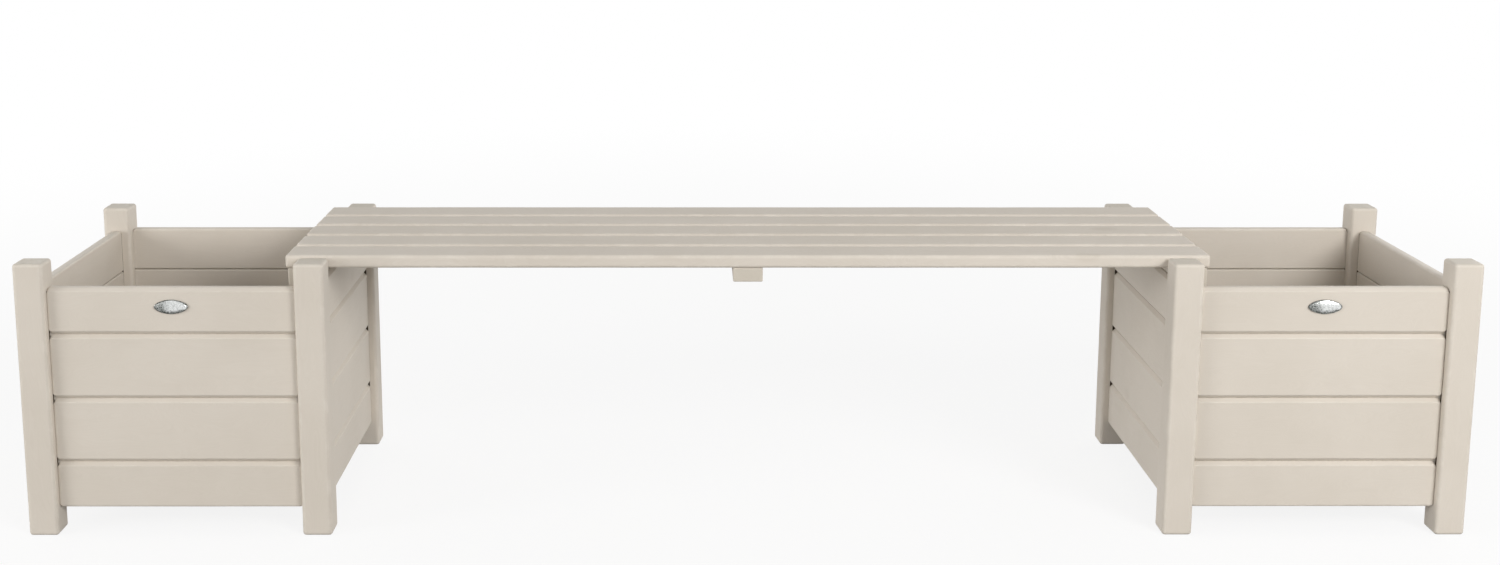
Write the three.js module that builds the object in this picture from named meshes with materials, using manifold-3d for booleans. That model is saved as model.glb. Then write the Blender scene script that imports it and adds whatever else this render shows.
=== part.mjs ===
// A garden bench whose seat bridges two square wooden planters, in millimetres.
// X runs along the bench, Y to the back and Z up. The origin is on the ground, under the middle of the bench.
//
// Each planter is a frame of four corner posts. Tongue-and-groove boards fill its sides, and their ends
// are housed in stopped grooves of the posts. Two cleats carry the slatted floor.
// The seat is five slats on three battens. The end battens rest on the inner walls, between the posts,
// and a rebate hooks them over the wall, so the seat can't slide off and lifts straight up.
import * as THREE from "three";
import { mergeVertices } from "three/addons/utils/BufferGeometryUtils.js";
import Module from "manifold-3d";

const wasm = await Module();
wasm.setup();

// Clearances
const FIT = 0.3; // between faces that touch
const JOINT_GAP = 0.8; // between the shoulders of two wall boards
const OVERRUN = 5; // how far a cutting tool runs past the face it cuts

// Planter frame
const PLANTER_W = 390; // over the posts, both ways
const POST_W = 38;
const POST_EDGE_R = 4.5; // long edges
const POST_END_R = 4; // top and bottom edges
const GROUND_GAP = 35; // under the walls

// Wall boards
const BOARD_T = 15;
const BOARD_SETBACK = 10; // wall face behind the post face
const TOP_BOARD_H = 60.5; // height that each board covers
const MIDDLE_BOARD_H = 84.5;
const BOTTOM_BOARD_H = 61;
const V_BEVEL = 4.4; // on the long face edges, which makes the V joints
const BACK_EASE = 1.5; // on the long edges inside the planter
const WALL_EDGE_R = 3; // along the inner top edge and both bottom edges of a wall
const TONGUE_T = 4.8;
const TONGUE_H = 5;
const HOUSING_D = 8; // how deep the posts' grooves take the board ends

// Planter floor
const CLEAT_W = 20;
const CLEAT_H = 20;
const FLOOR_T = 12;
const FLOOR_SLATS = 3;
const FLOOR_GAP = 10; // drainage gap between the slats
const FLOOR_PLAY = 1.5; // between the floor and the frame
const INNER_EDGE_R = 1.5; // long edges of cleats and floor slats
const INNER_END_R = 1.2;

// Oval plate on the front of each planter
const PLATE_W = 43;
const PLATE_H = 18.5;
const PLATE_RIM = 1.2;
const PLATE_DOME = 2.4; // crown above the rim
const PLATE_DROP = 24; // centre below the top of the wall

// Seat
const CLEAR_SPAN = 1070; // between the planters
const SEAT_OVERLAP = 56; // seat end past the planter's side
const SEAT_PLAY = 2; // between the seat and the posts, front and back
const SEAT_PROUD = 2.6; // slats above the post tops
const SLATS = 5;
const SLAT_GAP = 9;
const SLAT_T = 17;
const SLAT_EDGE_R = 4.2;
const SLAT_END_R = 3.6;
const BATTEN_W = 38;
const BATTEN_T = 18;
const BATTEN_EDGE_R = 1.8;
const BATTEN_END_R = 1.4;
const BATTEN_INSET = 2; // batten end behind the front slat's edge
const HOOK_SETBACK = 5; // end batten behind the wall's outer face
const HOOK_DROP = 12; // rebated lip below the top of the wall
const HOOK_PLAY = 1; // between the lip and the wall

// Facets
const ARC_STEPS = 2; // three.js doubles this, so a round corner has four faces
const BEVEL_STEPS = 3;
const FINE_BEVEL_STEPS = 1;
const PLATE_SIDES = 32;
const DOME_STEPS = 5;

// Sizes that follow
const boardHeights = [TOP_BOARD_H, MIDDLE_BOARD_H, MIDDLE_BOARD_H, BOTTOM_BOARD_H]; // from the top down
const wallTop = boardHeights.reduce((sum, height) => sum + height, GROUND_GAP);
const battenZ = wallTop + FIT;
const slatZ = battenZ + BATTEN_T + FIT;
const postHeight = slatZ + SLAT_T - SEAT_PROUD;
const postGap = PLANTER_W - 2 * POST_W; // between two posts of one side
const tongueNear = (BOARD_T - TONGUE_T) / 2; // the tongue lies in the middle of the board
const tongueFar = tongueNear + TONGUE_T;
const planterX = (CLEAR_SPAN + PLANTER_W) / 2; // centre of the right planter
const insideHalf = PLANTER_W / 2 - BOARD_SETBACK - BOARD_T; // from the planter's centre to its wall
const insideDepth = postGap - 2 * FLOOR_PLAY; // over the floor slats

// Paint and metal
const paint = new THREE.MeshStandardMaterial({ color: 0xd4cbbe, roughness: 0.55, metalness: 0 });
const seatPaint = new THREE.MeshStandardMaterial({ color: 0xd1c8bb, roughness: 0.5, metalness: 0 });
const plateMetal = new THREE.MeshStandardMaterial({ color: 0xbfc3c4, roughness: 0.3, metalness: 1 });

// A closed geometry as a solid for boolean work, and back again.
function solidOf(geometry) {
  const bare = geometry.index ? geometry.toNonIndexed() : geometry.clone();
  bare.deleteAttribute("normal");
  bare.deleteAttribute("uv");
  const merged = mergeVertices(bare);
  const mesh = new wasm.Mesh({
    numProp: 3,
    vertProperties: merged.attributes.position.array,
    triVerts: new Uint32Array(merged.index.array),
  });
  return new wasm.Manifold(mesh);
}

function geometryOf(solid) {
  const { vertProperties, triVerts } = solid.getMesh();
  const indexed = new THREE.BufferGeometry();
  indexed.setAttribute("position", new THREE.BufferAttribute(vertProperties, 3));
  indexed.setIndex(new THREE.BufferAttribute(triVerts, 1));
  const geometry = indexed.toNonIndexed();
  geometry.computeVertexNormals();
  return geometry;
}

function meshOf(name, geometry, material) {
  const mesh = new THREE.Mesh(geometry, material);
  mesh.name = name;
  return mesh;
}

// Closed outline through the corners, given counterclockwise, each as [x, y, radius]. An arc of that
// radius touches both sides of its corner, and a radius of 0 leaves the corner sharp.
function outlineOf(corners) {
  const outline = new THREE.Shape();
  corners.forEach(([x, y, radius], index) => {
    const corner = new THREE.Vector2(x, y);
    const [beforeX, beforeY] = corners.at(index - 1);
    const [afterX, afterY] = corners[(index + 1) % corners.length];
    const back = new THREE.Vector2(beforeX, beforeY).sub(corner).normalize();
    const ahead = new THREE.Vector2(afterX, afterY).sub(corner).normalize();
    const halfAngle = Math.acos(back.dot(ahead)) / 2;
    const inward = back.clone().add(ahead).normalize();
    const centre = corner.clone().addScaledVector(inward, radius / Math.sin(halfAngle));
    const reach = radius / Math.tan(halfAngle);
    const start = corner.clone().addScaledVector(back, reach).sub(centre);
    const end = corner.clone().addScaledVector(ahead, reach).sub(centre);
    if (radius > 0) outline.absarc(centre.x, centre.y, radius, start.angle(), end.angle());
    else if (index === 0) outline.moveTo(x, y);
    else outline.lineTo(x, y);
  });
  return outline;
}

// A rectangle from (x, y) to (x + width, y + height) with round corners.
function roundedRectangle(x, y, width, height, radius) {
  const right = x + width;
  const top = y + height;
  return outlineOf([[x, y, radius], [right, y, radius], [right, top, radius], [x, top, radius]]);
}

// Timber with round long edges and round ends, from 0 to its length along Z.
function roundedTimber(outline, length, endRadius, steps) {
  const geometry = new THREE.ExtrudeGeometry(outline, {
    depth: length - 2 * endRadius,
    curveSegments: ARC_STEPS,
    bevelThickness: endRadius,
    bevelSize: endRadius,
    bevelOffset: -endRadius,
    bevelSegments: steps,
  });
  return geometry.translate(0, 0, endRadius);
}

// Lays timber of this length along X, about the middle. Its outline then stands in the YZ plane.
function layAlongX(timber, length) {
  return timber.rotateX(Math.PI / 2).rotateZ(Math.PI / 2).translate(-length / 2, 0, 0);
}

// Lays timber of this length along Y, about the middle. Its outline then stands in the XZ plane.
function layAlongY(timber, length) {
  return timber.rotateX(Math.PI / 2).translate(0, length / 2, 0);
}

function box(x0, x1, y0, y1, z0, z1) {
  const geometry = new THREE.BoxGeometry(x1 - x0, y1 - y0, z1 - z0);
  return geometry.translate((x0 + x1) / 2, (y0 + y1) / 2, (z0 + z1) / 2);
}

// Corner post, from its outer corner at the origin towards +X and +Y. A stopped groove in each inner
// face houses the board ends of one wall.
function cornerPost() {
  const outline = roundedRectangle(0, 0, POST_W, POST_W, POST_EDGE_R);
  const timber = roundedTimber(outline, postHeight, POST_END_R, BEVEL_STEPS);
  const near = BOARD_SETBACK - FIT;
  const far = BOARD_SETBACK + BOARD_T + FIT;
  const bottom = POST_W - HOUSING_D;
  const low = GROUND_GAP - FIT;
  const high = wallTop + FIT;
  const grooveX = box(bottom, POST_W + OVERRUN, near, far, low, high);
  const grooveY = box(near, far, bottom, POST_W + OVERRUN, low, high);
  return geometryOf(solidOf(timber).subtract(solidOf(grooveX)).subtract(solidOf(grooveY)));
}

// Edges of a wall board's section, in the YZ plane with the board's face at y = 0. The lower shoulder
// of the section is at z = 0. Each edge is a list of corners in counterclockwise order.
const groovedEdge = [
  [0, V_BEVEL, 0],
  [V_BEVEL, 0, 0],
  [tongueNear - FIT, 0, 0],
  [tongueNear - FIT, TONGUE_H + FIT - JOINT_GAP, 0],
  [tongueFar + FIT, TONGUE_H + FIT - JOINT_GAP, 0],
  [tongueFar + FIT, 0, 0],
  [BOARD_T - BACK_EASE, 0, 0],
  [BOARD_T, BACK_EASE, 0],
];
const plainBottomEdge = [[0, 0, WALL_EDGE_R], [BOARD_T, 0, WALL_EDGE_R]];
const plainTopEdge = (height) => [
  [BOARD_T, height, WALL_EDGE_R],
  [V_BEVEL, height, 0],
  [0, height - V_BEVEL, 0],
];
const tonguedEdge = (height) => [
  [BOARD_T, height - BACK_EASE, 0],
  [BOARD_T - BACK_EASE, height, 0],
  [tongueFar, height, 0],
  [tongueFar, height + TONGUE_H, 0],
  [tongueNear, height + TONGUE_H, 0],
  [tongueNear, height, 0],
  [V_BEVEL, height, 0],
  [0, height - V_BEVEL, 0],
];

function wallBoard(bottomEdge, topEdge) {
  const length = postGap + 2 * (HOUSING_D - FIT);
  const board = new THREE.ExtrudeGeometry(outlineOf([...bottomEdge, ...topEdge]), {
    depth: length,
    curveSegments: ARC_STEPS,
    bevelEnabled: false,
  });
  return layAlongX(board, length);
}

// Cleat on the inner face of a side wall, which carries the ends of the floor slats.
function floorCleat() {
  const outline = roundedRectangle(0, 0, CLEAT_W, CLEAT_H, INNER_EDGE_R);
  return layAlongX(roundedTimber(outline, insideDepth, INNER_END_R, FINE_BEVEL_STEPS), insideDepth);
}

function floorSlat(width) {
  const outline = roundedRectangle(0, 0, width, FLOOR_T, INNER_EDGE_R);
  const length = 2 * (insideHalf - FLOOR_PLAY);
  return layAlongX(roundedTimber(outline, length, INNER_END_R, FINE_BEVEL_STEPS), length);
}

// Oval metal plate: a flat back, an upright rim and a crown that is an elliptical dome. It is turned
// as a round of radius 1 and then drawn out to the oval.
function ovalPlate() {
  const profile = [new THREE.Vector2(0, 0), new THREE.Vector2(1, 0)];
  for (let i = 0; i < DOME_STEPS; i += 1) {
    const angle = ((Math.PI / 2) * i) / DOME_STEPS;
    profile.push(new THREE.Vector2(Math.cos(angle), PLATE_RIM + PLATE_DOME * Math.sin(angle)));
  }
  profile.push(new THREE.Vector2(0, PLATE_RIM + PLATE_DOME));
  const plate = new THREE.LatheGeometry(profile, PLATE_SIDES);
  return plate.scale(PLATE_W / 2, 1, PLATE_H / 2).rotateX(Math.PI);
}

const postShape = cornerPost();
const middleBoardShape = wallBoard(groovedEdge, tonguedEdge(MIDDLE_BOARD_H - JOINT_GAP));
const boardShapes = [
  wallBoard(groovedEdge, plainTopEdge(TOP_BOARD_H)),
  middleBoardShape,
  middleBoardShape,
  wallBoard(plainBottomEdge, tonguedEdge(BOTTOM_BOARD_H - JOINT_GAP)),
];

// Front of a planter: the post at its left end and the boards of its wall. The other sides are this
// one, turned about the planter's centre.
function planterSide(box, side, corner) {
  const group = new THREE.Group();
  const post = meshOf(`${box}_box_${corner}_post`, postShape, paint);
  post.position.set(-PLANTER_W / 2, -PLANTER_W / 2, 0);
  group.add(post);
  let top = wallTop;
  boardHeights.forEach((cover, index) => {
    const board = meshOf(`${box}_box_${side}_board_${index + 1}`, boardShapes[index], paint);
    board.position.set(0, -PLANTER_W / 2 + BOARD_SETBACK, top - cover);
    group.add(board);
    top -= cover;
  });
  return group;
}

function planterFloor(box, rightSide, leftSide) {
  const group = new THREE.Group();
  for (const [side, turn] of [[rightSide, Math.PI / 2], [leftSide, -Math.PI / 2]]) {
    const arm = new THREE.Group();
    const cleat = meshOf(`${box}_box_${side}_cleat`, floorCleat(), paint);
    cleat.position.set(0, -insideHalf + FIT, GROUND_GAP);
    arm.rotation.z = turn;
    arm.add(cleat);
    group.add(arm);
  }
  const width = (insideDepth - (FLOOR_SLATS - 1) * FLOOR_GAP) / FLOOR_SLATS;
  for (let i = 0; i < FLOOR_SLATS; i += 1) {
    const slat = meshOf(`${box}_box_floor_slat_${i + 1}`, floorSlat(width), paint);
    slat.position.set(0, -insideDepth / 2 + i * (width + FLOOR_GAP), GROUND_GAP + CLEAT_H + FIT);
    group.add(slat);
  }
  return group;
}

// One planter. Its right and left sides are named inner or outer, as they face the seat or not.
function planterBox(box, rightSide, leftSide) {
  const group = new THREE.Group();
  const sides = [
    ["front", `front_${leftSide}`],
    [rightSide, `front_${rightSide}`],
    ["back", `back_${rightSide}`],
    [leftSide, `back_${leftSide}`],
  ];
  sides.forEach(([side, corner], quarter) => {
    const built = planterSide(box, side, corner);
    built.rotation.z = (quarter * Math.PI) / 2;
    group.add(built);
  });
  group.add(planterFloor(box, rightSide, leftSide));
  const plate = meshOf(`${box}_box_oval_plate`, ovalPlate(), plateMetal);
  plate.position.set(0, -PLANTER_W / 2 + BOARD_SETBACK - FIT, wallTop - PLATE_DROP);
  group.add(plate);
  return group;
}

function seatSlat(width, length) {
  const outline = roundedRectangle(0, 0, width, SLAT_T, SLAT_EDGE_R);
  return layAlongX(roundedTimber(outline, length, SLAT_END_R, BEVEL_STEPS), length);
}

function middleBatten(length) {
  const outline = roundedRectangle(-BATTEN_W / 2, 0, BATTEN_W, BATTEN_T, BATTEN_EDGE_R);
  return layAlongY(roundedTimber(outline, length, BATTEN_END_R, FINE_BEVEL_STEPS), length);
}

// End batten: x = 0 is the wall's outer face, +X points into the planter and z = 0 rests on the wall.
// The rebate leaves a lip that hangs inside the wall.
function endBatten(length) {
  const outer = HOOK_SETBACK;
  const inner = HOOK_SETBACK + BATTEN_W;
  const lip = BOARD_T + HOOK_PLAY;
  const outline = outlineOf([
    [outer, 0, BATTEN_EDGE_R],
    [lip, 0, 0],
    [lip, -HOOK_DROP, BATTEN_EDGE_R],
    [inner, -HOOK_DROP, BATTEN_EDGE_R],
    [inner, BATTEN_T, BATTEN_EDGE_R],
    [outer, BATTEN_T, BATTEN_EDGE_R],
  ]);
  return layAlongY(roundedTimber(outline, length, BATTEN_END_R, FINE_BEVEL_STEPS), length);
}

function seat() {
  const group = new THREE.Group();
  const length = CLEAR_SPAN + 2 * SEAT_OVERLAP;
  const depth = postGap - 2 * SEAT_PLAY;
  const width = (depth - (SLATS - 1) * SLAT_GAP) / SLATS;
  for (let i = 0; i < SLATS; i += 1) {
    const slat = meshOf(`seat_slat_${i + 1}`, seatSlat(width, length), seatPaint);
    slat.position.set(0, -depth / 2 + i * (width + SLAT_GAP), slatZ);
    group.add(slat);
  }
  const battenLength = depth - 2 * BATTEN_INSET;
  const middle = meshOf("seat_middle_batten", middleBatten(battenLength), seatPaint);
  middle.position.set(0, 0, battenZ);
  group.add(middle);
  const wallFace = CLEAR_SPAN / 2 + BOARD_SETBACK;
  for (const [side, x, turn] of [["left", -wallFace, Math.PI], ["right", wallFace, 0]]) {
    const batten = meshOf(`seat_${side}_batten`, endBatten(battenLength), seatPaint);
    batten.position.set(x, 0, battenZ);
    batten.rotation.z = turn;
    group.add(batten);
  }
  return group;
}

const bench = new THREE.Group();
for (const [box, x, rightSide, leftSide] of [
  ["left", -planterX, "inner", "outer"],
  ["right", planterX, "outer", "inner"],
]) {
  const built = planterBox(box, rightSide, leftSide);
  built.position.set(x, 0, 0);
  bench.add(built);
}
bench.add(seat());

export default bench;
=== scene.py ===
import math

import bmesh
import bpy
import numpy as np
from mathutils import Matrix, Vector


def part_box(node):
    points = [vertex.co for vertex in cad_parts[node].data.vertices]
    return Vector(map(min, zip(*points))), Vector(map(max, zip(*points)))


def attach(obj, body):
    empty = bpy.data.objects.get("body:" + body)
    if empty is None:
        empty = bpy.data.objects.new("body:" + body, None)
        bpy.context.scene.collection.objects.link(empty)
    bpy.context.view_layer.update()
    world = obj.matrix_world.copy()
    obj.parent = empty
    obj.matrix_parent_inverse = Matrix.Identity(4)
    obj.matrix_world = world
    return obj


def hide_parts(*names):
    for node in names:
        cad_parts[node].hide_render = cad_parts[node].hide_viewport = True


# A garden bench whose slatted seat bridges two square wooden planters, in metres.
# X runs along the bench, Y to the back and Z up. Every timber is a section carried along its length,
# in the box of the node that it replaces.
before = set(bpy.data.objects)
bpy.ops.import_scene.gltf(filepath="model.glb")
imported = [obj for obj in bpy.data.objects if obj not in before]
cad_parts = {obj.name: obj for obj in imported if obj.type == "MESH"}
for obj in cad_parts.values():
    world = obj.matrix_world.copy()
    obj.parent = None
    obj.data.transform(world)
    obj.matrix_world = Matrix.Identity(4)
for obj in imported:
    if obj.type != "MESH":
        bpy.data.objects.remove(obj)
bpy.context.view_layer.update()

MM = 0.001
RIGHT, BACK, UP = np.eye(3)

# Posts
POST_EDGE_R = 4.5 * MM
POST_END_R = 4 * MM
HOUSING_D = 11.5 * MM  # the boards stop short of its bottom, which leaves the joints' ends dark
HOUSING_PLAY = 0.3 * MM

# Wall boards
V_BEVEL = 4.4 * MM
BACK_EASE = 1.5 * MM
WALL_EDGE_R = 3 * MM
ARRIS_R = 1.8 * MM  # softened by the paint
SHOULDER_R = 0.3 * MM
TONGUE_T = 4.8 * MM
TONGUE_H = 5 * MM
TONGUE_PLAY = 0.3 * MM
JOINT_GAP = 0.8 * MM
END_EASE_R = 2.2 * MM  # the face draws back in a round beside a post
END_EASE_D = 1.5 * MM
END_CORNER_R = 4.5 * MM  # and so do its corners, towards the board's middle
END_CORNER_D = 5 * MM
END_CORNER_REACH = 16 * MM

# Cleats and floor slats
FLOOR_SLATS = 3
INNER_EDGE_R = 1.5 * MM
INNER_END_R = 1.2 * MM

# Seat
SEAT_SLATS = 5
SLAT_EDGE_R = 4.2 * MM
SLAT_END_R = 3.6 * MM
BATTEN_EDGE_R = 1.8 * MM
BATTEN_END_R = 1.4 * MM
BATTEN_T = 18 * MM
LIP_OFFSET = 11 * MM  # lip of an end batten behind its outer face

# Screws under the battens
SCREW_R = 4.2 * MM
SCREW_CROWN = 0.9 * MM
SCREW_FIRST_RING = 0.04  # share of the radius
SCREW_RING_STEPS = 14
SCREW_TURN_STEPS = 32
RECESS_HALF_W = 0.55 * MM
RECESS_REACH = 2.3 * MM
RECESS_D = 0.7 * MM
RECESS_SOFTNESS = 0.25 * MM
SCREW_SHARE = 0.25  # of the slat's width, from its middle

# Oval plates
PLATE_RIM = 1.2 * MM
PLATE_EXPONENT = 1.8  # of the superellipse, 2 for a true ellipse
PLATE_LIP_SHARE = 0.93
PLATE_LIP_WIDTH_SHARE = 0.018
PLATE_LIP_GROOVE = 0.35 * MM
PLATE_BACK_SHARE = 0.985  # the back is a little smaller, with a chamfer around it
PLATE_CHAMFER_SHARE = 0.2
PLATE_FIRST_TURN = 0.02  # share of the quarter turn from the crown to the rim
PLATE_RINGS = 60
PLATE_TURN_STEPS = 192
HAMMER_MARKS = 420
HAMMER_MARK_R = 1.25 * MM
HAMMER_SIZE_SHARES = (0.6, 1.0)
HAMMER_MARK_D = 0.11 * MM
HAMMER_BOWL_EXPONENT = 1.5
HAMMER_MIDDLE = 0.5  # share of a mark's depth that the unmarked metal stands proud
HAMMER_FADE = 14  # how steeply the marks run out before the lip

# Painted dark reflections on the oval plates, and patina beside their rim, in shares of their half width
# and half height
PAINTED_REFLECTION_LEFT = 0.8
PAINTED_REFLECTION_LEFT_RAMP = (0.05, 0.5)  # where it starts, and how far it rises
PAINTED_REFLECTION_LOWER = 0.6
PAINTED_REFLECTION_LOWER_RAMP = (0.35, 0.4)
PAINTED_REFLECTION_LOWER_LEAN = 1.3  # the smaller, the more of the lower edge's painted reflection lies on the right
PATINA_RIM = (0.97, 0.045)  # middle and width of a bell
PAINTED_REFLECTION_SPOT_ACROSS = (0.7, 0.2)
PAINTED_REFLECTION_SPOT_UP = (-0.55, 0.2)

# Mesh
ARC_STEP = math.radians(15)
FLAT_STEP = 11 * MM
STATION_STEP = 13 * MM
SUPPORT = 0.35 * MM
MERGE = 0.002 * MM
SHARP_ANGLE = math.radians(38)
WAVES = 3
WAVE_LENGTHS = (45 * MM, 140 * MM)
WAVE_HEIGHT = 0.09 * MM  # planing and paint leave the faces slightly uneven
GRAIN_SHIFT = 5.0  # each timber is cut from its own place in the grain, at most this far out

chance = np.random.default_rng(41)


# Sections

def unit(vector):
    return vector / np.linalg.norm(vector)


def outward(direction):
    """Normal on the right-hand side of a direction, which is outside on a counterclockwise outline."""
    return np.array([direction[1], -direction[0]])


def corner_points(before, corner, after, radius):
    """Points, outward normals and edge mask of one corner.

    A round corner is the arc that touches both sides: its centre lies on the bisector, at the radius
    divided by the sine of half the angle. A sharp corner is one point with the mitre as its normal.
    """
    back, ahead = unit(before - corner), unit(after - corner)
    side_before, side_after = outward(-back), outward(ahead)
    mitre = side_before + side_after
    if radius == 0:
        return corner[None], mitre[None] / (1 + side_before @ side_after), np.zeros(1)
    half_angle = math.acos(np.clip(back @ ahead, -1, 1)) / 2
    centre = corner + unit(back + ahead) * radius / math.sin(half_angle)
    turn = math.pi - 2 * half_angle
    steps = max(2, math.ceil(turn / ARC_STEP))
    sweep = np.linspace(-turn / 2, turn / 2, steps + 1)
    convex = np.sign(np.cross(-back, ahead))
    middle = math.atan2(*(convex * unit(mitre))[::-1])
    angles = middle + convex * sweep
    rays = np.stack([np.cos(angles), np.sin(angles)], 1)
    return centre + radius * rays, convex * rays, np.ones(len(angles))


def run_points(start, end):
    """Points inside a straight run: one close to each end, so that the flat face keeps its flat
    shading beside a round edge, and even steps between them."""
    length = np.linalg.norm(end - start)
    if length < 4 * SUPPORT:
        return np.empty((0, 2))
    steps = max(1, math.ceil((length - 2 * SUPPORT) / FLAT_STEP))
    places = np.linspace(SUPPORT, length - SUPPORT, steps + 1)[:, None]
    return start + unit(end - start) * places


def section_of(corners):
    """Closed outline through corners given counterclockwise as (x, y, radius), with what is known of
    each of its points. At first none of them sinks, lies in a seam or is drawn in at a board's end."""
    spots = np.array([corner[:2] for corner in corners], float)
    points, normals, edges = [], [], []
    built = [
        corner_points(spots[i - 1], spots[i], spots[(i + 1) % len(spots)], corners[i][2])
        for i in range(len(corners))
    ]
    for (arc, arc_normals, arc_edges), (next_arc, _, _) in zip(built, built[1:] + built[:1]):
        straight = run_points(arc[-1], next_arc[0])
        side = outward(unit(next_arc[0] - arc[-1]))
        points += [arc, straight]
        normals += [arc_normals, np.tile(side, (len(straight), 1))]
        edges += [arc_edges, np.zeros(len(straight))]
    points = np.concatenate(points)
    return {
        "points": points,
        "normals": np.concatenate(normals),
        "edge": np.concatenate(edges),
        "sunk": np.zeros(len(points)),
        "seam": np.zeros(len(points)),
        "draw": np.zeros((len(points), 2)),
    }


def rounded_rectangle(width, height, radius):
    return section_of([(0, 0, radius), (width, 0, radius), (width, height, radius), (0, height, radius)])


def post_section(width, near, far):
    """A square with round corners. Its right and upper sides each carry the mouth of a housing, from
    near to far, whose end points are doubled so that the part between them can sink into the post.
    Each mouth passes four such points, so between its ends their count is 2 or 3 modulo 4."""
    outline = section_of([
        (0, 0, POST_EDGE_R),
        (width, 0, POST_EDGE_R),
        (width, near, 0),
        (width, far, 0),
        (width, width, POST_EDGE_R),
        (far, width, 0),
        (near, width, 0),
        (0, width, POST_EDGE_R),
    ])
    points = outline["points"]
    mouths = np.array([(width, near), (width, far), (far, width), (near, width)])
    is_mouth = (np.linalg.norm(points[:, None] - mouths, axis=2) < MERGE).any(1)
    doubled = {key: np.repeat(values, 1 + is_mouth, axis=0) for key, values in outline.items()}
    passed = np.cumsum(np.repeat(is_mouth, 1 + is_mouth)) % 4
    doubled["sunk"] = np.isin(passed, (2, 3)).astype(float)
    return doubled


def board_section(thickness, height, top, bottom):
    """A wall board's section with its face at x = 0 and its lower shoulder at y = 0. The face edges
    are bevelled, a grooved bottom takes the tongue of the board below, and the corners are softened."""
    near = (thickness - TONGUE_T) / 2
    far = near + TONGUE_T
    roof = TONGUE_H + TONGUE_PLAY - JOINT_GAP
    bottoms = {
        "grooved": [
            (0, V_BEVEL, ARRIS_R),
            (V_BEVEL, 0, SHOULDER_R),
            (near - TONGUE_PLAY, 0, 0),
            (near - TONGUE_PLAY, roof, 0),
            (far + TONGUE_PLAY, roof, 0),
            (far + TONGUE_PLAY, 0, 0),
            (thickness - BACK_EASE, 0, SHOULDER_R),
            (thickness, BACK_EASE, SHOULDER_R),
        ],
        "round": [(0, 0, WALL_EDGE_R), (thickness, 0, WALL_EDGE_R)],
    }
    tops = {
        "tongued": [
            (thickness, height - BACK_EASE, SHOULDER_R),
            (thickness - BACK_EASE, height, SHOULDER_R),
            (far, height, 0),
            (far, height + TONGUE_H, 0),
            (near, height + TONGUE_H, 0),
            (near, height, 0),
            (V_BEVEL, height, SHOULDER_R),
            (0, height - V_BEVEL, ARRIS_R),
        ],
        "bevelled": [
            (thickness, height, WALL_EDGE_R),
            (V_BEVEL, height, ARRIS_R),
            (0, height - V_BEVEL, ARRIS_R),
        ],
    }
    section = section_of(bottoms[bottom] + tops[top])
    x, y = section["points"].T
    beside_joint = np.ones_like(y)
    if bottom == "grooved":
        beside_joint = np.minimum(beside_joint, np.abs(y) / V_BEVEL)
    if top == "tongued":
        beside_joint = np.minimum(beside_joint, np.abs(y - height) / V_BEVEL)
    section["seam"] = np.clip(1 - beside_joint, 0, 1)
    section["draw"] = end_draw(x, y, near, height, top, bottom)
    return section


def end_draw(x, y, near, height, top, bottom):
    """How far a board's section moves where its end is fully rounded: the face backwards, less and less
    down to the tongue, and the corners towards the middle, less and less over their reach. Beside a
    tongue or a groove only the shoulder in front of it moves."""
    lower = np.clip(1 - y / END_CORNER_REACH, 0, 1)
    upper = np.clip(1 - (height - y) / END_CORNER_REACH, 0, 1)
    if bottom == "grooved":
        lower *= x < near
    if top == "tongued":
        upper *= (x < near + MERGE) & (y < height + MERGE)
    backwards = END_EASE_D * np.clip(1 - x / near, 0, 1)
    return np.stack([backwards, END_CORNER_D * (lower - upper)], 1)


def end_batten_section(width, lip_drop):
    """An L: the lip hangs below the shoulder that rests on the wall. x = 0 is the outer face."""
    top = lip_drop + BATTEN_T
    return section_of([
        (0, lip_drop, BATTEN_EDGE_R),
        (LIP_OFFSET, lip_drop, 0),
        (LIP_OFFSET, 0, BATTEN_EDGE_R),
        (width, 0, BATTEN_EDGE_R),
        (width, top, BATTEN_EDGE_R),
        (0, top, BATTEN_EDGE_R),
    ])


# Meshes

def steps_between(start, end):
    return np.linspace(start, end, math.ceil((end - start) / STATION_STEP) + 1)


def round_places(radius):
    """Places along a quarter circle: at the angle t, the radius times 1 - cos t."""
    angle = np.linspace(0, math.pi / 2, round(math.pi / 2 / ARC_STEP) + 1)
    return radius * (1 - np.cos(angle))


def round_share(distance, radius):
    """How far a quarter circle still draws in, as a share: 1 at its start, and 0 past its radius. Between
    them it is 1 minus the square root of 1 minus the square of 1 minus the distance over the radius."""
    return 1 - np.sqrt(1 - np.clip(1 - distance / radius, 0, 1) ** 2)


def board_stations(length, entering):
    """Places along a wall board, whose ends stand in the posts as far as entering. The first and last
    place are the caps. Past the posts' sides the face and its corners are quarter circles, each given as
    its share of the full draw."""
    start = [0, 0, SUPPORT, entering - SUPPORT, *(entering + round_places(END_CORNER_R))]
    straight = entering + END_CORNER_R + SUPPORT
    middle = steps_between(straight, length - straight)
    places = np.concatenate([start, middle, length - np.array(start)[::-1]])
    past_post = np.minimum(places, length - places) - entering
    face = round_share(past_post, END_EASE_R)
    corner = round_share(past_post, END_CORNER_R)
    inset = np.zeros(len(places))
    inset[[0, -1]] = SUPPORT
    return {
        "place": places,
        "inset": inset,
        "on_round": (corner > 0) & (corner < 1),
        "end": np.zeros(len(places)),
        "open": np.zeros(len(places)),
        "drawn": np.stack([face, corner], 1),
        "housed": (past_post < -MERGE).astype(float),
    }


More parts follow.
